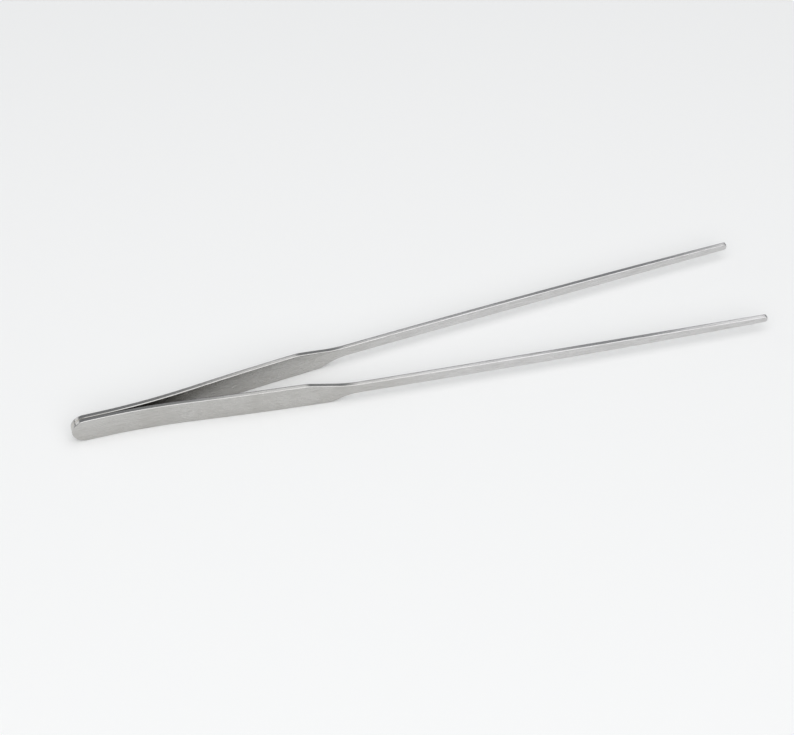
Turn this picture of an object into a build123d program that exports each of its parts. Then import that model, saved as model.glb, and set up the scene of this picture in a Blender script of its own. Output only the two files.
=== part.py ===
from build123d import *
import math
import os

# Print tongs: a long pair of spring tweezers for lifting prints out of a tray.
# Two mirrored blades of stainless sheet stand on edge, touch at the heel and are
# welded there round the rounded end. Each blade bows away from the other along
# the flat grip, necks down at a shoulder and runs out as a slim, tapering prong.
#
# Frame: +X runs from the heel to the tips, Y crosses the opening with the front
# blade on the -Y side, and +Z is up. The tongs stand on the lower edges of their
# grips at Z = 0. The origin is under the middle of the overall length.
# All sizes are in millimetres and degrees.

# Whole tool
LENGTH = 300.0            # heel end to tips
SHEET = 2.0               # gauge of the stainless sheet
EDGE_RADIUS = 0.4         # tumbled edges of the blanked sheet

# Plan: the path of a blade's inner face, seen from above
HEEL_CONTACT = 12.0       # the blades lie flat together over this length
OUT_RADIUS = 304.0        # bend that leads a blade out of the heel
OUT_ANGLE = 6.956         # slope of the flank after that bend
FLANK_LENGTH = 9.3        # straight stretch under the thumb
BACK_RADIUS = 1555.0      # bend back along the finger grip and shoulder
BACK_ANGLE = 2.667
PRONG_RADIUS = 9503.0     # the prong is almost straight
PRONG_ANGLE = 1.06        # runs a little past the tip, where the side outline trims it

# Side outline of a blade. The lower edge keeps the width of the grip further towards
# the tip than the upper edge does, and then turns in more sharply.
GRIP_WIDTH = 12.2         # full height of the grip, round at the heel
UPPER_CORNER = 98.5       # from the heel end to the corner of the shoulder
UPPER_ANGLE = 12.0        # fall of the shoulder's straight part
UPPER_ROUNDING = 14.0     # rounding of the corner
LOWER_CORNER = 108.0
LOWER_ANGLE = 27.0
LOWER_ROUNDING = 6.0
NECK_END = 120.5          # both edges have swept into the prong here
PRONG_WIDTH = 5.1
PRONG_PARALLEL = 54.1     # even stretch of the prong before it tapers
TIP_WIDTH = 3.2
TIP_ROUNDING = 1.1        # corners of the tip

# Heel weld: a V run round the end of the heel and ground flush
WELD_LEG = 0.7

# Where a blade's spring action is gathered into one hinge line
FLEX_STATION = 44.0       # from the heel end

# Derived positions
HEEL_X = -LENGTH / 2
TIP_X = LENGTH / 2
MID_Z = GRIP_WIDTH / 2
UPPER_X = HEEL_X + UPPER_CORNER
LOWER_X = HEEL_X + LOWER_CORNER
PRONG_X = HEEL_X + NECK_END
TAPER_X = PRONG_X + PRONG_PARALLEL
PRONG_LOW = MID_Z - PRONG_WIDTH / 2
PRONG_HIGH = MID_Z + PRONG_WIDTH / 2

# The sweep into the prong touches the straight fall and the prong's edge. Its radius
# follows from the corner, the angle and the drop between grip and prong.
UPPER_SIN = math.sin(math.radians(UPPER_ANGLE))
UPPER_COS = math.cos(math.radians(UPPER_ANGLE))
UPPER_NECK = ((PRONG_X - UPPER_X) * UPPER_SIN - PRONG_LOW * UPPER_COS) / (1 - UPPER_COS)
UPPER_FALL_X = PRONG_X - UPPER_NECK * UPPER_SIN
UPPER_FALL = (UPPER_FALL_X - UPPER_X) * UPPER_SIN / UPPER_COS
LOWER_SIN = math.sin(math.radians(LOWER_ANGLE))
LOWER_COS = math.cos(math.radians(LOWER_ANGLE))
LOWER_NECK = ((PRONG_X - LOWER_X) * LOWER_SIN - PRONG_LOW * LOWER_COS) / (1 - LOWER_COS)
LOWER_FALL_X = PRONG_X - LOWER_NECK * LOWER_SIN
LOWER_FALL = (LOWER_FALL_X - LOWER_X) * LOWER_SIN / LOWER_COS

# The hinge line lies on the inner face, inside the bend that leads out of the heel
FLEX_ANGLE = math.degrees(math.asin((FLEX_STATION - HEEL_CONTACT) / OUT_RADIUS))
FLEX_X = HEEL_X + FLEX_STATION
FLEX_Y = OUT_RADIUS * (1 - math.cos(math.radians(FLEX_ANGLE)))
FLEX_NORMAL = (math.cos(math.radians(FLEX_ANGLE)), math.sin(math.radians(FLEX_ANGLE)), 0)
FLEX_PLANE = Plane(origin=(FLEX_X, FLEX_Y, 0), z_dir=FLEX_NORMAL)

# Just past the end of the shoulder's sweep, where the prong begins
NECK_PLANE = Plane(origin=(PRONG_X + 1.6, 0, 0), z_dir=(1, 0, 0))

# Axis of the rounded heel; turned about it, a section sweeps from top to bottom
# round the end
HEEL_AXIS = Axis((HEEL_X + MID_Z, 0, MID_Z), (0, -1, 0))

os.makedirs("parts", exist_ok=True)


# ---------------------------------------------------------------------------
# One whole blade, on the +Y side
# ---------------------------------------------------------------------------
with BuildPart() as blade:
    # The bowed strip: inner face path, offset outwards by the sheet gauge
    with BuildSketch(Plane.XY):
        with BuildLine():
            heel_run = Line((HEEL_X, 0), (HEEL_X + HEEL_CONTACT, 0))
            out_bend = JernArc(heel_run @ 1, heel_run % 1, OUT_RADIUS, OUT_ANGLE)
            flank = PolarLine(out_bend @ 1, FLANK_LENGTH, OUT_ANGLE)
            back_bend = JernArc(flank @ 1, flank % 1, BACK_RADIUS, -BACK_ANGLE)
            prong_run = JernArc(back_bend @ 1, back_bend % 1, PRONG_RADIUS, -PRONG_ANGLE)
            offset(amount=SHEET, side=Side.LEFT)
        make_face()
    extrude(amount=GRIP_WIDTH)

    # The side outline, trimmed out of the strip
    with BuildSketch(Plane.XZ):
        with BuildLine():
            heel_round = CenterArc((HEEL_X + MID_Z, MID_Z), MID_Z, 90, 180)
            low_grip = Line(heel_round @ 1, (LOWER_X, 0))
            low_fall = Line(low_grip @ 1, (LOWER_FALL_X, LOWER_FALL))
            low_neck = JernArc(low_fall @ 1, (LOWER_COS, LOWER_SIN), LOWER_NECK, -LOWER_ANGLE)
            low_prong = Line(low_neck @ 1, (TAPER_X, PRONG_LOW))
            low_taper = TangentArc(low_prong @ 1, (TIP_X, MID_Z - TIP_WIDTH / 2), tangent=(1, 0))
            high_grip = Line(heel_round @ 0, (UPPER_X, GRIP_WIDTH))
            high_fall = Line(high_grip @ 1, (UPPER_FALL_X, GRIP_WIDTH - UPPER_FALL))
            high_neck = JernArc(high_fall @ 1, (UPPER_COS, -UPPER_SIN), UPPER_NECK, UPPER_ANGLE)
            high_prong = Line(high_neck @ 1, (TAPER_X, PRONG_HIGH))
            high_taper = TangentArc(high_prong @ 1, (TIP_X, MID_Z + TIP_WIDTH / 2), tangent=(1, 0))
            Line(low_taper @ 1, high_taper @ 1)
        make_face()
    extrude(amount=LENGTH, both=True, mode=Mode.INTERSECT)

    # Shoulder corners and tip corners, rounded in the side view
    across = blade.edges().filter_by(Axis.Y, tolerance=8)
    fillet(across.filter_by_position(Axis.X, UPPER_X - 1, UPPER_X + 1), UPPER_ROUNDING)
    across = blade.edges().filter_by(Axis.Y, tolerance=8)
    fillet(across.filter_by_position(Axis.X, LOWER_X - 1, LOWER_X + 1), LOWER_ROUNDING)
    across = blade.edges().filter_by(Axis.Y, tolerance=8)
    fillet(across.filter_by_position(Axis.X, TIP_X - 0.5, TIP_X + 0.5), TIP_ROUNDING)

    # Tumbled edges all the way round both faces of the sheet
    rims = [edge for edge in blade.edges() if abs((edge % 0.5).Y) < 0.9]
    fillet(rims, EDGE_RADIUS)

    # Weld groove: the inner rim of the rounded heel is bevelled
    with BuildSketch(Plane.YZ.offset(HEEL_X + MID_Z)):
        with BuildLine():
            Polyline((0, GRIP_WIDTH - WELD_LEG), (WELD_LEG, GRIP_WIDTH), (0, GRIP_WIDTH + 1), close=True)
        make_face()
    revolve(axis=HEEL_AXIS, revolution_arc=180, mode=Mode.SUBTRACT)
print("blade", blade.part.is_valid, blade.part.volume, blade.part.bounding_box())
assert blade.part.is_valid and len(blade.part.solids()) == 1


# ---------------------------------------------------------------------------
# Rear blade: parted at the hinge line into the fixed leaf and the moving arm,
# and the arm again where the shoulder's sweep ends, into grip and prong
# ---------------------------------------------------------------------------
with BuildPart() as rear_heel_leaf:
    add(blade.part)
    split(bisect_by=FLEX_PLANE, keep=Keep.BOTTOM)
rear_heel_leaf.part.label = "rear_heel_leaf"

with BuildPart() as rear_grip:
    add(blade.part)
    split(bisect_by=FLEX_PLANE, keep=Keep.TOP)
    split(bisect_by=NECK_PLANE, keep=Keep.BOTTOM)
rear_grip.part.label = "rear_grip"

with BuildPart() as rear_prong:
    add(blade.part)
    split(bisect_by=NECK_PLANE, keep=Keep.TOP)
rear_prong.part.label = "rear_prong"


# ---------------------------------------------------------------------------
# Front blade: the mirror image across the middle of the tongs
# ---------------------------------------------------------------------------
with BuildPart() as front_heel_leaf:
    mirror(rear_heel_leaf.part, about=Plane.XZ)
front_heel_leaf.part.label = "front_heel_leaf"

with BuildPart() as front_grip:
    mirror(rear_grip.part, about=Plane.XZ)
front_grip.part.label = "front_grip"

with BuildPart() as front_prong:
    mirror(rear_prong.part, about=Plane.XZ)
front_prong.part.label = "front_prong"


# ---------------------------------------------------------------------------
# Heel weld: the bead that fills the bevels and closes the rounded end
# ---------------------------------------------------------------------------
with BuildPart() as heel_weld:
    with BuildSketch(Plane.YZ.offset(HEEL_X + MID_Z)):
        with BuildLine():
            Polyline((0, GRIP_WIDTH - WELD_LEG), (WELD_LEG, GRIP_WIDTH), (-WELD_LEG, GRIP_WIDTH), close=True)
        make_face()
    revolve(axis=HEEL_AXIS, revolution_arc=180)
heel_weld.part.label = "heel_weld"


# ---------------------------------------------------------------------------
# Files
# ---------------------------------------------------------------------------
nodes = (heel_weld, front_heel_leaf, rear_heel_leaf, front_grip, rear_grip, front_prong, rear_prong)
for node in nodes:
    assert node.part.is_valid and len(node.part.solids()) == 1
    print(f"{node.part.label:16s} {node.part.volume:9.2f} mm3  {node.part.bounding_box()}")

export_step(heel_weld.part, "parts/heel_weld.step")
export_step(front_heel_leaf.part, "parts/front_heel_leaf.step")
export_step(rear_heel_leaf.part, "parts/rear_heel_leaf.step")
export_step(front_grip.part, "parts/front_grip.step")
export_step(rear_grip.part, "parts/rear_grip.step")
export_step(front_prong.part, "parts/front_prong.step")
export_step(rear_prong.part, "parts/rear_prong.step")

# Closing angle: each arm turns about its hinge line until the inner face of its
# tip is one clearance short of the middle
TIP_CLEARANCE = 0.1
tip_overrun = (prong_run @ 1).X - TIP_X
tip_slope = math.tan(math.radians(OUT_ANGLE - BACK_ANGLE - PRONG_ANGLE))
tip_y = (prong_run @ 1).Y - tip_overrun * tip_slope
reach = math.hypot(TIP_X - FLEX_X, tip_y - FLEX_Y)
open_angle = math.asin((tip_y - FLEX_Y) / reach)
shut_angle = math.asin((TIP_CLEARANCE - FLEX_Y) / reach)
print(f"hinge lines at X {FLEX_X:.3f}, Y +-{FLEX_Y:.4f}; inner tip faces at Y +-{tip_y:.3f}")
print(f"closing range of each arm {math.degrees(open_angle - shut_angle):.3f} degrees")
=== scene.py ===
"""Print tongs: a long pair of spring tweezers in satin stainless steel.

Two bowed blades stand on edge and are welded together at the rounded heel. Each
blade is one continuous sheet, swept from a side outline along a bowed path.
"""
import logging
import math
from dataclasses import dataclass, field
from enum import Enum
from typing import Any, Mapping, Sequence

import bpy
from mathutils import Matrix, Vector


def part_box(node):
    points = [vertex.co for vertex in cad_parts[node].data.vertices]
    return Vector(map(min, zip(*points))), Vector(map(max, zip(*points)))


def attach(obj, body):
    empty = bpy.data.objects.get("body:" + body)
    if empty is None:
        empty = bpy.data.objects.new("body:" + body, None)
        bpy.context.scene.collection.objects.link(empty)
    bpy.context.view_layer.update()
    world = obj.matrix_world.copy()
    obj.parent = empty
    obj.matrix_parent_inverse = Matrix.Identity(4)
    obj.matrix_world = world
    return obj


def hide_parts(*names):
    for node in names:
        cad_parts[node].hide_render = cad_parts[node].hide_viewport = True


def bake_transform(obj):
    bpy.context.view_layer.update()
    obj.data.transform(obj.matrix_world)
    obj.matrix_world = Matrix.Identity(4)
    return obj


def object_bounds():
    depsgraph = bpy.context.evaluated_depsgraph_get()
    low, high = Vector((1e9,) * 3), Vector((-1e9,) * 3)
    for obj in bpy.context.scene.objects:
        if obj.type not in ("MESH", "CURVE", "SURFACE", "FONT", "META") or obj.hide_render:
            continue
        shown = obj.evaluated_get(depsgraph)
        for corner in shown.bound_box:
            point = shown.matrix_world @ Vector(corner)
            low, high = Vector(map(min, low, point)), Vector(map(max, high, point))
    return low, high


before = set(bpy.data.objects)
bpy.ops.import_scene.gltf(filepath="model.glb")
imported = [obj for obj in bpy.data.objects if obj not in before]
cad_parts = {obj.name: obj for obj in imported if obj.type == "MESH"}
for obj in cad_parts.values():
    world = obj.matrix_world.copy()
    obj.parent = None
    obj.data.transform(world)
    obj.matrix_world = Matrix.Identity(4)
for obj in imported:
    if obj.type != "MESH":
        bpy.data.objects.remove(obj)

LOG = logging.getLogger("print_tongs")
MM = 0.001
CLOSING_DISTANCE = 0.002 * MM         # points nearer than this are one point
NOISE_LOW = 0.3                       # a noise texture mostly stays between these two
NOISE_HIGH = 0.7


def as_lists(bounds: Any) -> list[list[float]]:
    """Turn a pair of corners into plain lists of numbers.

    Args:
        bounds: Two corners, as vectors or sequences.

    Returns:
        The corners as lists of floats.
    """
    return [[float(value) for value in corner] for corner in bounds]


CAD_BOX = as_lists(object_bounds())


class Side(Enum):
    """Which blade of the pair, as the sign of its Y."""

    FRONT = -1
    REAR = 1


def linear(hex_colour: str) -> tuple[float, float, float, float]:
    """Turn an sRGB hex colour into linear RGBA.

    Args:
        hex_colour: Six hex digits, with or without a leading hash.

    Returns:
        Linear red, green, blue and an alpha of one.
    """
    digits = hex_colour.lstrip("#")
    channels = [int(digits[i:i + 2], 16) / 255 for i in (0, 2, 4)]
    red, green, blue = (
        c / 12.92 if c <= 0.04045 else ((c + 0.055) / 1.055) ** 2.4 for c in channels
    )
    return red, green, blue, 1.0


def add_node(
    tree: bpy.types.NodeTree,
    kind: str,
    inputs: Mapping[Any, Any] | None = None,
    **settings: Any,
) -> bpy.types.Node:
    """Add a node, set its properties, and fill or link its inputs.

    Args:
        tree: The tree that the node goes into.
        kind: The node's type name.
        inputs: Socket names or numbers, with a value or an output socket each.
        **settings: Properties of the node.

    Returns:
        The new node.
    """
    node = tree.nodes.new(kind)
    for name, value in settings.items():
        setattr(node, name, value)
    for key, value in (inputs or {}).items():
        if isinstance(value, bpy.types.NodeSocket):
            tree.links.new(value, node.inputs[key])
        else:
            node.inputs[key].default_value = value
    return node


def triangles(mesh: bpy.types.Mesh) -> int:
    """Count the triangles that a mesh makes."""
    return sum(len(polygon.vertices) - 2 for polygon in mesh.polygons)


# ----------------------------------------------------------------------------
# Finishes
# ----------------------------------------------------------------------------


@dataclass(frozen=True)
class SatinStainless:
    """Cold-rolled stainless sheet, satin brushed lengthwise and then tumbled.

    The eye gets a soft grey sheen that follows the length of each blade, fine
    drawn lines, a slightly uneven haze, rims that tumbling has left smoother than
    the faces, grips painted a shade darker than the prongs, and painted shade in
    the seam where the blades lie together.
    """

    name: str = "satin_brushed_tumbled_stainless_steel"
    prong_tone: str = "#D2D1D1"           # prongs, lighter than the grips
    shaded_grip: str = "#C5C4C2"          # grips, painted shade: darker than the prongs for the dimmer floor that they reflect
    haze: str = "#B7B5B1"
    scratch: str = "#A19F9B"          # bottoms of the deeper drawn lines
    seam_shade: str = "#7F7D79"            # painted shade in the seam at the heel, where the blades lie together
    seam_width: float = 0.5 * MM      # either side of the middle plane
    seam_shade_share: float = 0.85          # how far the painted shade covers the steel in the seam
    grip_shade_fade_start: float = 105 * MM     # the painted shade of the grips fades out over this stretch
    grip_shade_fade_end: float = 165 * MM
    face_roughness: float = 0.28
    rim_roughness: float = 0.15
    line_roughness: float = 0.07      # how much rougher or smoother a drawn line is
    line_depth: float = 0.012 * MM
    ripple_depth: float = 0.03 * MM
    grit_depth: float = 0.003 * MM
    line_width: float = 0.45 * MM     # real lines are 0.05 mm, drawn as coarse as shows
    line_length: float = 13 * MM
    haze_size: float = 22 * MM        # patches left by handling and uneven tumbling
    ripple_size: float = 9 * MM       # faint waviness of rolled sheet
    grit_size: float = 0.25 * MM      # tumbling grain

    def material(self) -> bpy.types.Material:
        """Build the material.

        Returns:
            The finished material.
        """
        material = bpy.data.materials.new(self.name)
        material.use_nodes = True
        tree = material.node_tree
        tree.nodes.clear()
        sheet = add_node(tree, "ShaderNodeAttribute", attribute_name="sheet_co").outputs["Vector"]
        rim = add_node(tree, "ShaderNodeAttribute", attribute_name="rim").outputs["Fac"]

        along = 1 / self.line_length
        across = 1 / self.line_width
        drawn = add_node(tree, "ShaderNodeVectorMath", {0: sheet, 1: (along, across, across)},
                         operation="MULTIPLY").outputs[0]
        lines = add_node(tree, "ShaderNodeTexNoise",
                         {"Vector": drawn, "Scale": 1.0, "Detail": 3.0, "Roughness": 0.6}).outputs["Fac"]
        haze = add_node(tree, "ShaderNodeTexNoise",
                        {"Vector": sheet, "Scale": 1 / self.haze_size, "Detail": 4.0,
                         "Roughness": 0.55, "Distortion": 0.4}).outputs["Fac"]
        ripple = add_node(tree, "ShaderNodeTexNoise",
                          {"Vector": sheet, "Scale": 1 / self.ripple_size, "Detail": 1.0}).outputs["Fac"]
        grit = add_node(tree, "ShaderNodeTexNoise",
                        {"Vector": sheet, "Scale": 1 / self.grit_size, "Detail": 2.0}).outputs["Fac"]

        tone = add_node(tree, "ShaderNodeMapRange",
                        {"Value": haze, "From Min": 0.35, "From Max": 0.7, "To Min": 0.0, "To Max": 1.0}
                        ).outputs["Result"]
        place = add_node(tree, "ShaderNodeSeparateXYZ", {0: sheet}).outputs
        # Painted shade: the grips get a darker colour and more haze than the prongs, fading out between grip
        # and prong.
        prong_share = add_node(tree, "ShaderNodeMapRange",
                         {"Value": place[0], "From Min": self.grip_shade_fade_start, "From Max": self.grip_shade_fade_end}
                         ).outputs["Result"]
        steel = add_node(tree, "ShaderNodeMix",
                         {"Factor": prong_share, 6: linear(self.shaded_grip), 7: linear(self.prong_tone)},
                         data_type="RGBA").outputs[2]
        grip_shade_haze = add_node(tree, "ShaderNodeMapRange", {"Value": prong_share, "To Min": 0.55, "To Max": 0.15}
                          ).outputs["Result"]
        haze_amount = add_node(tree, "ShaderNodeMath", {0: tone, 1: grip_shade_haze}, operation="MULTIPLY").outputs[0]
        hazed = add_node(tree, "ShaderNodeMix", {"Factor": haze_amount, 6: steel, 7: linear(self.haze)},
                         data_type="RGBA").outputs[2]
        scored = add_node(tree, "ShaderNodeMapRange",
                          {"Value": lines, "From Min": 0.48, "From Max": 0.72, "To Min": 0.0, "To Max": 0.5}
                          ).outputs["Result"]
        lined = add_node(tree, "ShaderNodeMix", {"Factor": scored, 6: hazed, 7: linear(self.scratch)},
                         data_type="RGBA").outputs[2]
        # Painted shade: the steel darkens towards the middle plane, in the seam where the blades lie together
        # at the heel.
        sideways = add_node(tree, "ShaderNodeMath", {0: place[2]}, operation="ABSOLUTE").outputs[0]
        seam = add_node(tree, "ShaderNodeMapRange",
                        {"Value": sideways, "From Min": 0.0, "From Max": self.seam_width,
                         "To Min": self.seam_shade_share, "To Max": 0.0}).outputs["Result"]
        colour = add_node(tree, "ShaderNodeMix", {"Factor": seam, 6: lined, 7: linear(self.seam_shade)},
                          data_type="RGBA").outputs[2]

        base = add_node(tree, "ShaderNodeMapRange",
                        {"Value": rim, "From Min": 0.4, "From Max": 1.0,
                         "To Min": self.face_roughness, "To Max": self.rim_roughness}).outputs["Result"]
        streaked = add_node(tree, "ShaderNodeMapRange",
                            {"Value": lines, "From Min": NOISE_LOW, "From Max": NOISE_HIGH,
                             "To Min": -self.line_roughness, "To Max": self.line_roughness}).outputs["Result"]
        clouded = add_node(tree, "ShaderNodeMapRange",
                           {"Value": haze, "From Min": NOISE_LOW, "From Max": NOISE_HIGH,
                            "To Min": -0.03, "To Max": 0.05}).outputs["Result"]
        uneven = add_node(tree, "ShaderNodeMath", {0: streaked, 1: clouded}, operation="ADD").outputs[0]
        spared = add_node(tree, "ShaderNodeMapRange",
                          {"Value": rim, "To Min": 1.0, "To Max": 0.35}).outputs["Result"]
        roughness = add_node(tree, "ShaderNodeMath", {0: uneven, 1: spared, 2: base},
                             operation="MULTIPLY_ADD").outputs[0]

        rolled = add_node(tree, "ShaderNodeBump",
                          {"Strength": 0.25, "Distance": self.ripple_depth, "Height": ripple}
                          ).outputs["Normal"]
        brushed = add_node(tree, "ShaderNodeBump",
                           {"Strength": 0.35, "Distance": self.line_depth, "Height": lines, "Normal": rolled}
                           ).outputs["Normal"]
        tumbled = add_node(tree, "ShaderNodeBump",
                           {"Strength": 0.25, "Distance": self.grit_depth, "Height": grit, "Normal": brushed}
                           ).outputs["Normal"]
        shader = add_node(tree, "ShaderNodeBsdfPrincipled",
                          {"Base Color": colour, "Metallic": 1.0, "Roughness": roughness, "Normal": tumbled})
        add_node(tree, "ShaderNodeOutputMaterial", {"Surface": shader.outputs[0]})
        return material


@dataclass(frozen=True)
class GroundWeld:
    """Fusion weld in the same stainless steel, ground flush and polished over.

    The eye gets a smoother, slightly brighter seam with short marks across it
    where the grinding wheel went round the end.
    """

    name: str = "ground_flush_stainless_weld"
    steel: str = "#D2D0CC"
    tint: str = "#C4BEB2"
    roughness: float = 0.2
    mark_width: float = 0.28 * MM
    mark_length: float = 2.24 * MM    # across the seam
    mark_depth: float = 0.006 * MM
    blotch_size: float = 1.6 * MM

    def material(self) -> bpy.types.Material:
        """Build the material.

        Returns:
            The finished material.
        """
        material = bpy.data.materials.new(self.name)
        material.use_nodes = True
        tree = material.node_tree
        tree.nodes.clear()
        place = add_node(tree, "ShaderNodeTexCoord").outputs["Object"]
        fine, long = 1 / self.mark_width, 1 / self.mark_length
        ground = add_node(tree, "ShaderNodeVectorMath", {0: place, 1: (fine, long, fine)},
                          operation="MULTIPLY").outputs[0]
        marks = add_node(tree, "ShaderNodeTexNoise",
                         {"Vector": ground, "Scale": 1.0, "Detail": 3.0}).outputs["Fac"]
        blotch = add_node(tree, "ShaderNodeTexNoise",
                          {"Vector": place, "Scale": 1 / self.blotch_size, "Detail": 3.0}).outputs["Fac"]
        colour = add_node(tree, "ShaderNodeMix",
                          {"Factor": blotch, 6: linear(self.steel), 7: linear(self.tint)},
                          data_type="RGBA").outputs[2]
        roughness = add_node(tree, "ShaderNodeMapRange",
                             {"Value": marks, "From Min": NOISE_LOW, "From Max": NOISE_HIGH,
                              "To Min": self.roughness - 0.04, "To Max": self.roughness + 0.08}
                             ).outputs["Result"]
        bump = add_node(tree, "ShaderNodeBump",
                        {"Strength": 0.3, "Distance": self.mark_depth, "Height": marks}).outputs["Normal"]
        shader = add_node(tree, "ShaderNodeBsdfPrincipled",
                          {"Base Color": colour, "Metallic": 1.0, "Roughness": roughness, "Normal": bump})
        add_node(tree, "ShaderNodeOutputMaterial", {"Surface": shader.outputs[0]})
        return material


@dataclass(frozen=True)
class StudioPaper:
    """Seamless background paper: plain, matt and almost white."""

    name: str = "seamless_pale_paper"
    paper: str = "#F7F7F6"
    roughness: float = 0.9
    specular: float = 0.1

    def material(self) -> bpy.types.Material:
        """Build the material.

        Returns:
            The finished material.
        """
        material = bpy.data.materials.new(self.name)
        material.use_nodes = True
        shader = material.node_tree.nodes["Principled BSDF"]
        shader.inputs["Base Color"].default_value = linear(self.paper)
        shader.inputs["Roughness"].default_value = self.roughness
        shader.inputs["Specular IOR Level"].default_value = self.specular
        return material


# ----------------------------------------------------------------------------
# The blades
# ----------------------------------------------------------------------------


@dataclass(frozen=True)
class Bend:
    """A stretch of the blade's path over which its slope changes evenly."""

    start: float
    length: float
    slope: float


@dataclass(frozen=True)
class Shoulder:
    """Where one edge of a blade turns in from the grip, and how sharply."""

    corner: float
    angle: float
    rounding: float

    @property
    def reach(self) -> float:
        """Length along the grip that the rounding of the corner takes."""
        return self.rounding * math.tan(self.angle / 2)


@dataclass(frozen=True)
class BladeSizes:
    """Sizes of one blade in metres, measured from the heel end."""

    length: float = 300 * MM
    sheet: float = 2.0 * MM
    rim_radius: float = 0.4 * MM
    grip_width: float = 12.2 * MM
    upper: Shoulder = Shoulder(98.5 * MM, math.radians(12), 14 * MM)
    lower: Shoulder = Shoulder(108 * MM, math.radians(27), 6 * MM)
    neck_end: float = 120.5 * MM
    prong_width: float = 5.1 * MM
    taper_start: float = 174.6 * MM
    tip_width: float = 3.2 * MM
    tip_rounding: float = 1.1 * MM
    tip_crown: float = 6 * MM
    bends: tuple[Bend, Bend, Bend] = (
        Bend(12 * MM, 36.8 * MM, 0.122),
        Bend(58.05 * MM, 72 * MM, -0.047),
        Bend(130.05 * MM, 170 * MM, -0.0182),
    )

    def edge(self, station: float, shoulder: Shoulder) -> tuple[float, float]:
        """Height of one edge above or below the middle, behind the tip's corner.

        Args:
            station: Distance from the heel end, past the rounded heel.
            shoulder: The shoulder of that edge.

        Returns:
            The height, and the angle by which the edge falls towards the middle.
        """
        grip, prong = self.grip_width / 2, self.prong_width / 2
        sine, cosine = math.sin(shoulder.angle), math.cos(shoulder.angle)
        neck = ((self.neck_end - shoulder.corner) * sine - (grip - prong) * cosine) / (1 - cosine)
        rounding_start = shoulder.corner - shoulder.reach
        rounding_end = rounding_start + shoulder.rounding * sine
        if station <= rounding_start:
            return grip, 0.0
        if station <= rounding_end:
            lean = math.asin((station - rounding_start) / shoulder.rounding)
            return grip - shoulder.rounding * (1 - math.cos(lean)), lean
        if station <= self.neck_end - neck * sine:
            return grip - (station - shoulder.corner) * math.tan(shoulder.angle), shoulder.angle
        if station <= self.neck_end:
            lean = math.asin((self.neck_end - station) / neck)
            return prong + neck * (1 - math.cos(lean)), lean
        if station <= self.taper_start:
            return prong, 0.0
        length = self.length - self.taper_start
        fall = (prong - self.tip_width / 2) / length ** 2
        past = station - self.taper_start
        return prong - fall * past ** 2, math.atan(2 * fall * past)


@dataclass(frozen=True)
class OutlinePoint:
    """A point of the side outline, with the outward direction there."""

    station: float
    height: float
    turn: float

    @property
    def outward(self) -> tuple[float, float, float]:
        """Unit vector out of the outline, in the side view."""
        return math.cos(self.turn), 0.0, math.sin(self.turn)


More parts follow.
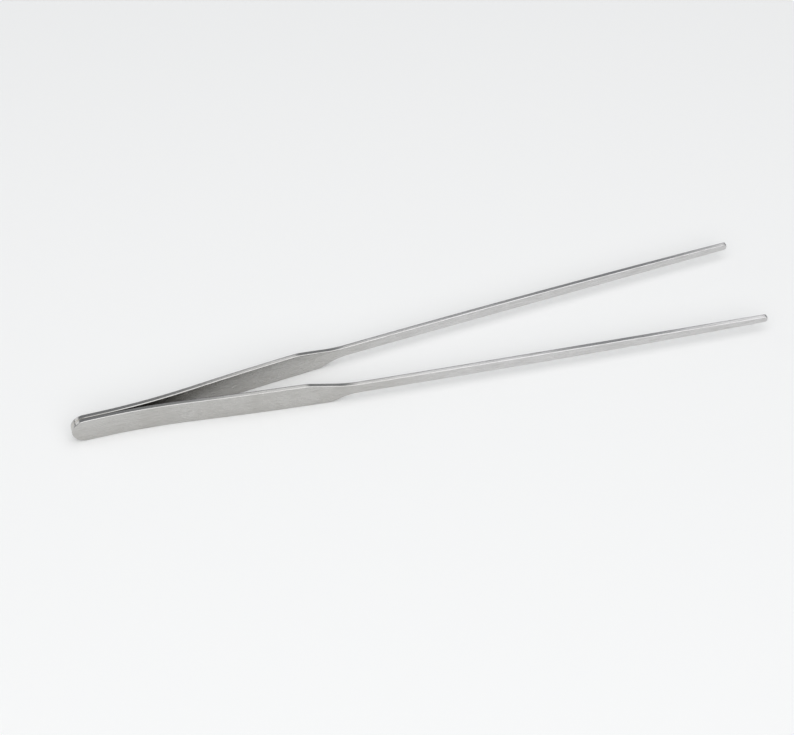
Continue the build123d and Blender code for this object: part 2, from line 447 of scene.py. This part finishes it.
@dataclass
class Blade:
    """One blade of the tongs, from the heel round to the tip and back."""

    side: Side
    finish: SatinStainless
    sizes: BladeSizes = field(default_factory=BladeSizes)
    station_step: float = 2.6 * MM
    shoulder_step: float = 0.9 * MM
    heel_steps: int = 20
    tip_steps: int = 8
    arc_steps: int = 6
    support: float = 0.12 * MM        # ring that keeps the flats flat beside a rounded rim
    flex_from: float = 14 * MM        # the heel stays stiff up to here
    flex_to: float = 92 * MM          # from here on the arm moves as one

    @property
    def name(self) -> str:
        """Piece name."""
        return f"{self.side.name.lower()}_blade_steel"

    @property
    def body(self) -> str:
        """The moving body that the arm belongs to."""
        return f"{self.side.name.lower()}_arm"

    @property
    def nodes(self) -> list[str]:
        """The frame nodes that this piece stands for."""
        return [f"{self.side.name.lower()}_{part}" for part in ("heel_leaf", "grip", "prong")]

    def stations(self) -> list[float]:
        """Stations of the open stretch, closer together round the shoulders.

        Returns:
            Stations from the rounded heel to the tip's corner.
        """
        z = self.sizes
        marks = [z.grip_width / 2, z.upper.corner - z.upper.reach, z.upper.corner + z.upper.reach,
                 z.lower.corner - z.lower.reach, z.lower.corner + z.lower.reach,
                 z.neck_end, z.taper_start, z.length - z.tip_rounding]
        steps = [self.station_step, *[self.shoulder_step] * 5, self.station_step, self.station_step]
        found = []
        for start, end, step in zip(marks, marks[1:], steps):
            count = max(1, round((end - start) / step))
            found += [start + (end - start) * i / count for i in range(count)]
        return found

    def outline(self, shoulder: Shoulder) -> list[OutlinePoint]:
        """One edge of the side outline, from the heel end to the tip end.

        Args:
            shoulder: The shoulder of that edge.

        Returns:
            The outline's points in order.
        """
        z = self.sizes
        heel = z.grip_width / 2
        upright = math.pi / 2
        points = []
        for i in range(self.heel_steps):
            turn = math.pi - upright * i / self.heel_steps
            points.append(OutlinePoint(heel + heel * math.cos(turn), heel * math.sin(turn), turn))
        for station in self.stations():
            height, lean = z.edge(station, shoulder)
            points.append(OutlinePoint(station, height, upright - lean))
        corner = z.length - z.tip_rounding
        height, lean = z.edge(corner, shoulder)
        middle = height - z.tip_rounding
        crown = middle ** 2 / (2 * z.tip_crown)
        last = middle / z.tip_crown
        for i in range(self.tip_steps + 1):
            turn = upright - lean - (upright - lean - last) * i / self.tip_steps
            points.append(OutlinePoint(corner - crown + z.tip_rounding * math.cos(turn),
                                       middle + z.tip_rounding * math.sin(turn), turn))
        points.append(OutlinePoint(z.length, 0.0, 0.0))
        return points

    def section(self) -> list[tuple[float, float, float]]:
        """Closed section of the sheet, once round.

        Returns:
            Points as (share of the half width, inset from the outline, depth from
            the inner face). The last point repeats the first.
        """
        z = self.sizes
        r = z.rim_radius
        held = r + self.support
        steps = [math.pi / 2 * i / self.arc_steps for i in range(self.arc_steps + 1)]
        outer_rim = [(1.0, r * (1 - math.sin(a)), z.sheet - r * (1 - math.cos(a))) for a in steps]
        inner_rim = [(1.0, r * (1 - math.cos(a)), r * (1 - math.sin(a))) for a in steps]
        edge = [(1.0, 0.0, z.sheet - held), (1.0, 0.0, held)]
        upper = [(0.0, held, z.sheet), (0.5, held, z.sheet), (1.0, held, z.sheet)]
        upper += outer_rim + edge + inner_rim
        upper += [(1.0, held, 0.0), (0.5, held, 0.0), (0.0, held, 0.0)]
        lower = [(-share, inset, depth) for share, inset, depth in reversed(upper[:-1])]
        return upper + lower

    def guide(self, name: str, points: Sequence[Sequence[float]]) -> bpy.types.Object:
        """Make an object whose vertices are the given points.

        Args:
            name: Object name.
            points: The points, in order.

        Returns:
            The new object.
        """
        mesh = bpy.data.meshes.new(name)
        mesh.from_pydata([tuple(p) for p in points], [(i, i + 1) for i in range(len(points) - 1)], [])
        guide = bpy.data.objects.new(name, mesh)
        bpy.context.scene.collection.objects.link(guide)
        return guide

    def build(self, tree: bpy.types.NodeTree) -> bpy.types.Object:
        """Sweep the blade and turn it into a plain mesh.

        Args:
            tree: The blade sweep.

        Returns:
            The blade's object.
        """
        z = self.sizes
        outline = self.outline(z.upper) + self.outline(z.lower)
        blade = self.guide(self.name, [(p.station, 0.0, p.height) for p in outline])
        outward = blade.data.attributes.new("outward", "FLOAT_VECTOR", "POINT")
        outward.data.foreach_set("vector", [c for p in outline for c in p.outward])
        section = self.guide(f"{self.name}_section", self.section())
        low, high = (Vector(corner) for corner in CAD_BOX)
        values: dict[str, Any] = {
            "Section": section, "Sheet": z.sheet, "Rim Radius": z.rim_radius,
            "Heel End": low.x, "Middle Height": (low.z + high.z) / 2,
            "Side": float(self.side.value), "Steel": self.finish.material(),
        }
        for number, bend in enumerate(z.bends, 1):
            values[f"Bend {number} Start"] = bend.start
            values[f"Bend {number} Length"] = bend.length
            values[f"Bend {number} Slope"] = bend.slope
        modifier = blade.modifiers.new("sweep", "NODES")
        modifier.node_group = tree
        for item in tree.interface.items_tree:
            if item.item_type == "SOCKET" and item.in_out == "INPUT" and item.name in values:
                modifier[item.identifier] = values[item.name]
        bpy.context.view_layer.update()
        depsgraph = bpy.context.evaluated_depsgraph_get()
        mesh = bpy.data.meshes.new_from_object(
            blade.evaluated_get(depsgraph), preserve_all_data_layers=True, depsgraph=depsgraph)
        blade.modifiers.clear()
        blade.data = mesh
        mesh.name = self.name
        bpy.data.objects.remove(section)
        return blade

    def dress(self, blade: bpy.types.Object) -> None:
        """Hide the frame's parts of this blade and bake its placement into the mesh.

        Args:
            blade: The blade's object.
        """
        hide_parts(*self.nodes)
        low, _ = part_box(f"{self.side.name.lower()}_heel_leaf")
        self.body
        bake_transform(blade)


def bend_group() -> bpy.types.NodeTree:
    """Node group for one bend: how far it carries the path, and its slope.

    Returns:
        The group.
    """
    tree = bpy.data.node_groups.new("sheet_bend", "GeometryNodeTree")
    for name in ("Station", "Start", "Length", "Slope"):
        tree.interface.new_socket(name, in_out="INPUT", socket_type="NodeSocketFloat")
    for name in ("Offset", "Slope"):
        tree.interface.new_socket(name, in_out="OUTPUT", socket_type="NodeSocketFloat")
    given = add_node(tree, "NodeGroupInput").outputs
    end = add_node(tree, "ShaderNodeMath", {0: given["Start"], 1: given["Length"]},
                   operation="ADD").outputs[0]
    share = add_node(tree, "ShaderNodeMapRange",
                     {"Value": given["Station"], "From Min": given["Start"], "From Max": end}
                     ).outputs["Result"]
    slope = add_node(tree, "ShaderNodeMath", {0: share, 1: given["Slope"]}, operation="MULTIPLY").outputs[0]
    squared = add_node(tree, "ShaderNodeMath", {0: share, 1: share}, operation="MULTIPLY").outputs[0]
    half = add_node(tree, "ShaderNodeMath", {0: given["Length"], 1: 0.5}, operation="MULTIPLY").outputs[0]
    past = add_node(tree, "ShaderNodeMath", {0: given["Station"], 1: end}, operation="SUBTRACT").outputs[0]
    beyond = add_node(tree, "ShaderNodeMath", {0: past, 1: 0.0}, operation="MAXIMUM").outputs[0]
    run = add_node(tree, "ShaderNodeMath", {0: squared, 1: half, 2: beyond},
                   operation="MULTIPLY_ADD").outputs[0]
    offset = add_node(tree, "ShaderNodeMath", {0: run, 1: given["Slope"]}, operation="MULTIPLY").outputs[0]
    add_node(tree, "NodeGroupOutput", {"Offset": offset, "Slope": slope})
    return tree


def blade_sweep() -> bpy.types.NodeTree:
    """Geometry tree that carries a sheet section round an outline and along a bow.

    Returns:
        The tree.
    """
    tree = bpy.data.node_groups.new("blade_sweep", "GeometryNodeTree")
    tree.interface.new_socket("Geometry", in_out="INPUT", socket_type="NodeSocketGeometry")
    tree.interface.new_socket("Section", in_out="INPUT", socket_type="NodeSocketObject")
    names = ["Sheet", "Rim Radius", "Heel End", "Middle Height", "Side"]
    names += [f"Bend {n} {size}" for n in (1, 2, 3) for size in ("Start", "Length", "Slope")]
    for name in names:
        tree.interface.new_socket(name, in_out="INPUT", socket_type="NodeSocketFloat")
    tree.interface.new_socket("Steel", in_out="INPUT", socket_type="NodeSocketMaterial")
    tree.interface.new_socket("Geometry", in_out="OUTPUT", socket_type="NodeSocketGeometry")
    given = add_node(tree, "NodeGroupInput").outputs

    # One grid vertex for each pair of an outline point and a section point. The
    # outline holds the upper edge and then the lower edge, point for point.
    outline = given["Geometry"]
    section = add_node(tree, "GeometryNodeObjectInfo", {"Object": given["Section"]}).outputs["Geometry"]
    both = add_node(tree, "GeometryNodeAttributeDomainSize", {"Geometry": outline}).outputs["Point Count"]
    rows = add_node(tree, "ShaderNodeMath", {0: both, 1: 0.5}, operation="MULTIPLY").outputs[0]
    columns = add_node(tree, "GeometryNodeAttributeDomainSize", {"Geometry": section}).outputs["Point Count"]
    grid = add_node(tree, "GeometryNodeMeshGrid",
                    {"Vertices X": rows, "Vertices Y": columns}).outputs["Mesh"]
    index = add_node(tree, "GeometryNodeInputIndex").outputs[0]
    centred = add_node(tree, "ShaderNodeMath", {0: index, 1: 0.5}, operation="ADD").outputs[0]
    ratio = add_node(tree, "ShaderNodeMath", {0: centred, 1: columns}, operation="DIVIDE").outputs[0]
    row = add_node(tree, "ShaderNodeMath", {0: ratio}, operation="FLOOR").outputs[0]
    passed = add_node(tree, "ShaderNodeMath", {0: row, 1: columns}, operation="MULTIPLY").outputs[0]
    column = add_node(tree, "ShaderNodeMath", {0: index, 1: passed}, operation="SUBTRACT").outputs[0]

    # What the section and the outline say at that pair
    position = add_node(tree, "GeometryNodeInputPosition").outputs[0]
    outward = add_node(tree, "GeometryNodeInputNamedAttribute", {"Name": "outward"},
                       data_type="FLOAT_VECTOR").outputs["Attribute"]

    def sampled(source: bpy.types.NodeSocket, value: bpy.types.NodeSocket,
                number: bpy.types.NodeSocket) -> bpy.types.NodeSocket:
        """Value of a guide's point, by its number.

        Args:
            source: Geometry of the guide.
            value: What to read there.
            number: Number of the point.

        Returns:
            The value as a vector.
        """
        return add_node(tree, "GeometryNodeSampleIndex",
                        {"Geometry": source, "Value": value, "Index": number},
                        data_type="FLOAT_VECTOR", domain="POINT").outputs["Value"]

    place = add_node(tree, "ShaderNodeSeparateXYZ", {0: sampled(section, position, column)}).outputs
    share, inset, depth = place[0], place[1], place[2]
    below = add_node(tree, "ShaderNodeMath", {0: share, 1: 0.0}, operation="LESS_THAN").outputs[0]
    guide_row = add_node(tree, "ShaderNodeMath", {0: below, 1: rows, 2: row},
                         operation="MULTIPLY_ADD").outputs[0]
    edge_point = sampled(outline, position, guide_row)
    direction = sampled(outline, outward, guide_row)

    # Step in from the outline, then carry the point along the bowed path
    step = add_node(tree, "ShaderNodeVectorMath", {0: direction, "Scale": inset},
                    operation="SCALE").outputs[0]
    inside = add_node(tree, "ShaderNodeVectorMath", {0: edge_point, 1: step}, operation="SUBTRACT").outputs[0]
    inside_parts = add_node(tree, "ShaderNodeSeparateXYZ", {0: inside}).outputs
    station, edge_height = inside_parts[0], inside_parts[2]
    group = bend_group()
    offset: Any = 0.0
    slope: Any = 0.0
    for n in (1, 2, 3):
        bend = add_node(tree, "GeometryNodeGroup", node_tree=group)
        tree.links.new(station, bend.inputs["Station"])
        for size in ("Start", "Length", "Slope"):
            tree.links.new(given[f"Bend {n} {size}"], bend.inputs[size])
        offset = add_node(tree, "ShaderNodeMath", {0: offset, 1: bend.outputs["Offset"]},
                          operation="ADD").outputs[0]
        slope = add_node(tree, "ShaderNodeMath", {0: slope, 1: bend.outputs["Slope"]},
                         operation="ADD").outputs[0]
    rise = add_node(tree, "ShaderNodeMath", {0: slope, 1: slope, 2: 1.0},
                    operation="MULTIPLY_ADD").outputs[0]
    stretch = add_node(tree, "ShaderNodeMath", {0: rise}, operation="SQRT").outputs[0]
    away = add_node(tree, "ShaderNodeMath", {0: depth, 1: stretch, 2: offset},
                    operation="MULTIPLY_ADD").outputs[0]
    x = add_node(tree, "ShaderNodeMath", {0: station, 1: given["Heel End"]}, operation="ADD").outputs[0]
    y = add_node(tree, "ShaderNodeMath", {0: away, 1: given["Side"]}, operation="MULTIPLY").outputs[0]
    height = add_node(tree, "ShaderNodeMath", {0: share, 1: edge_height}, operation="MULTIPLY").outputs[0]
    z = add_node(tree, "ShaderNodeMath", {0: height, 1: given["Middle Height"]},
                 operation="ADD").outputs[0]
    placed = add_node(tree, "ShaderNodeCombineXYZ", {0: x, 1: y, 2: z}).outputs[0]
    swept = add_node(tree, "GeometryNodeSetPosition", {"Geometry": grid, "Position": placed}).outputs[0]

    # Sheet coordinates for the brushing, and how near the rim a point is
    sheet_place = add_node(tree, "ShaderNodeCombineXYZ", {0: station, 1: height, 2: y}).outputs[0]
    rim = add_node(tree, "ShaderNodeMapRange",
                   {"Value": inset, "From Min": 0.0, "From Max": given["Rim Radius"],
                    "To Min": 1.0, "To Max": 0.0}).outputs["Result"]
    marked = add_node(tree, "GeometryNodeStoreNamedAttribute",
                      {"Geometry": swept, "Name": "sheet_co", "Value": sheet_place},
                      data_type="FLOAT_VECTOR", domain="POINT").outputs[0]
    rimmed = add_node(tree, "GeometryNodeStoreNamedAttribute",
                      {"Geometry": marked, "Name": "rim", "Value": rim},
                      data_type="FLOAT", domain="POINT").outputs[0]
    closed = add_node(tree, "GeometryNodeMergeByDistance",
                      {"Geometry": rimmed, "Distance": CLOSING_DISTANCE}).outputs[0]
    mirrored = add_node(tree, "ShaderNodeMath", {0: given["Side"], 1: 0.0}, operation="LESS_THAN").outputs[0]
    outwards = add_node(tree, "GeometryNodeFlipFaces", {"Mesh": closed, "Selection": mirrored}).outputs[0]
    smooth = add_node(tree, "GeometryNodeSetShadeSmooth", {"Geometry": outwards}).outputs[0]
    real = add_node(tree, "GeometryNodeRealizeInstances", {"Geometry": smooth}).outputs[0]
    steel = add_node(tree, "GeometryNodeSetMaterial",
                     {"Geometry": real, "Material": given["Steel"]}).outputs[0]
    add_node(tree, "NodeGroupOutput", {"Geometry": steel})
    return tree


# ----------------------------------------------------------------------------
# The heel weld
# ----------------------------------------------------------------------------


@dataclass
class HeelWeld:
    """Seam that fills the groove between the two rims round the heel end."""

    finish: GroundWeld
    half_width: float = 0.6 * MM
    root: float = 0.62 * MM           # depth of the bead's lowest point
    sink: float = 0.06 * MM           # how far its sides lie below its middle
    proud: float = -0.004 * MM        # of the blades' rims, so just below them
    steps: int = 72
    crown_steps: int = 8

    def section(self, swell: float) -> list[tuple[float, float]]:
        """Section of the bead at one place.

        Args:
            swell: Share by which the bead is wider or narrower there.

        Returns:
            Points as (across the seam, depth below the outline), once round.
        """
        width = self.half_width * swell
        crown = []
        for i in range(self.crown_steps + 1):
            across = -1 + 2 * i / self.crown_steps
            crown.append((across * width, self.sink * across ** 2 - self.proud))
        flank, shoulder = 0.35 * width, 0.75 * self.root
        return crown + [(flank, shoulder), (0.0, self.root), (-flank, shoulder)]

    def swell(self, turn: float) -> float:
        """Share of its usual width that the bead has at an angle, uneven as laid by hand."""
        return 0.96 + 0.03 * math.sin(11 * turn) + 0.02 * math.sin(23 * turn + 1)

    def build(self) -> bpy.types.Object:
        """Sweep the bead round the heel end.

        Returns:
            The bead's object.
        """
        low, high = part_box("heel_weld")
        radius = (high.z - low.z) / 2
        centre = Vector((low.x + radius, 0.0, (low.z + high.z) / 2))
        points = []
        for i in range(self.steps + 1):
            turn = math.pi / 2 + math.pi * i / self.steps
            for across, depth in self.section(self.swell(turn)):
                reach = radius - depth
                points.append(centre + Vector((reach * math.cos(turn), across, reach * math.sin(turn))))
        around = len(self.section(1.0))
        last = self.steps * around
        faces = [tuple(range(around)), tuple(reversed(range(last, last + around)))]
        for start in range(0, last, around):
            for j in range(around):
                k = (j + 1) % around
                faces.append((start + k, start + j, start + around + j, start + around + k))
        mesh = bpy.data.meshes.new("heel_weld_bead")
        mesh.from_pydata(points, [], faces)
        for polygon in mesh.polygons:
            polygon.use_smooth = len(polygon.vertices) == 4
        mesh.materials.append(self.finish.material())
        bead = bpy.data.objects.new("heel_weld_bead", mesh)
        bpy.context.scene.collection.objects.link(bead)
        return bead

    def dress(self, bead: bpy.types.Object) -> None:
        """Tie the bead to the frame.

        Args:
            bead: The bead's object.
        """
        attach(bead, "heel")
        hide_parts("heel_weld")


# ----------------------------------------------------------------------------
# Studio
# ----------------------------------------------------------------------------


@dataclass(frozen=True)
class Softbox:
    """A rectangular light seen from the middle of the tongs."""

    name: str
    azimuth: float
    elevation: float
    distance: float
    width: float
    height: float
    radiance: float

    def build(self) -> None:
        """Hang the light and turn it towards the tongs."""
        data = bpy.data.lights.new(self.name, "AREA")
        data.shape = "RECTANGLE"
        data.size = self.width
        data.size_y = self.height
        data.energy = self.radiance * math.pi * self.width * self.height
        turn, lift = math.radians(self.azimuth), math.radians(self.elevation)
        place = Vector((math.sin(turn) * math.cos(lift), math.cos(turn) * math.cos(lift), math.sin(lift)))
        light = bpy.data.objects.new(self.name, data)
        light.location = place * self.distance
        light.rotation_euler = place.to_track_quat("Z", "Y").to_euler()
        bpy.context.scene.collection.objects.link(light)


@dataclass(frozen=True)
class Studio:
    """Plain pale floor, soft lights, and the camera above the front of the heel."""

    floor_size: float = 6.0
    surround: str = "#909295"
    softboxes: tuple[Softbox, ...] = (
        Softbox("overhead_softbox", 180, 80, 1.5, 2.6, 2.0, 1.18),
        Softbox("front_softbox", 186, 36, 1.5, 2.2, 0.9, 1.15),
        Softbox("back_softbox", 15.6, 54.3, 1.52, 0.445, 0.3, 0.95),
        Softbox("side_softbox", 41.4, 43.7, 1.56, 0.19, 0.32, 0.95),
        Softbox("left_softbox", -55, 20, 1.6, 0.9, 0.7, 0.8),
        Softbox("heel_softbox", 250, 32, 1.5, 0.9, 0.7, 0.6),
    )
    camera_turn: float = -16.288
    camera_lift: float = 49.665
    camera_distance: float = 767.85 * MM
    camera_pan: tuple[float, float] = (-10.080 * MM, -5.713 * MM)
    target_height: float = 5.5 * MM
    nearest: float = 0.01
    focal_length: float = 81.61
    sensor: float = 36.0

    def build(self) -> None:
        """Set up the floor, surround, lights and camera."""
        self.build_floor()
        self.build_surround()
        for softbox in self.softboxes:
            softbox.build()
        self.build_camera()

    def build_floor(self) -> None:
        """Lay the paper under the tongs."""
        half = self.floor_size / 2
        mesh = bpy.data.meshes.new("studio_floor")
        corners = [(-half, -half, 0), (half, -half, 0), (half, half, 0), (-half, half, 0)]
        mesh.from_pydata(corners, [], [(0, 1, 2, 3)])
        mesh.materials.append(StudioPaper().material())
        floor = bpy.data.objects.new("studio_floor", mesh)
        bpy.context.scene.collection.objects.link(floor)

    def build_surround(self) -> None:
        """Light the room evenly and show colours without a film look."""
        world = bpy.data.worlds.new("studio_surround")
        world.use_nodes = True
        background = world.node_tree.nodes["Background"]
        background.inputs["Color"].default_value = linear(self.surround)
        background.inputs["Strength"].default_value = 1.0
        bpy.context.scene.world = world
        bpy.context.scene.view_settings.view_transform = "Standard"

    def build_camera(self) -> None:
        """Place the camera and make it the scene's."""
        turn, lift = math.radians(self.camera_turn), math.radians(self.camera_lift)
        right = Vector((math.cos(turn), math.sin(turn), 0.0))
        forward = Vector((-math.sin(turn) * math.cos(lift), math.cos(turn) * math.cos(lift), -math.sin(lift)))
        up = right.cross(forward)
        target = Vector((0.0, 0.0, self.target_height))
        data = bpy.data.cameras.new("camera")
        data.sensor_width = self.sensor
        data.lens = self.focal_length
        data.clip_start = self.nearest
        camera = bpy.data.objects.new("camera", data)
        aim = target + right * self.camera_pan[0] + up * self.camera_pan[1]
        place = aim - forward * self.camera_distance
        rotation = Matrix((right, up, -forward)).transposed().to_4x4()
        camera.matrix_world = Matrix.Translation(place) @ rotation
        bpy.context.scene.collection.objects.link(camera)
        bpy.context.scene.camera = camera


def main() -> None:
    """Build the studio, both blades and the weld, and report each piece."""
    logging.basicConfig(level=logging.INFO, format="%(name)s: %(message)s")
    Studio().build()
    tree = blade_sweep()
    for side in Side:
        blade = Blade(side, SatinStainless())
        steel = blade.build(tree)
        blade.dress(steel)
        LOG.info("%s: %d triangles", steel.name, triangles(steel.data))
    weld = HeelWeld(GroundWeld())
    bead = weld.build()
    weld.dress(bead)
    LOG.info("%s: %d triangles", bead.name, triangles(bead.data))


if __name__ == "__main__":
    main()
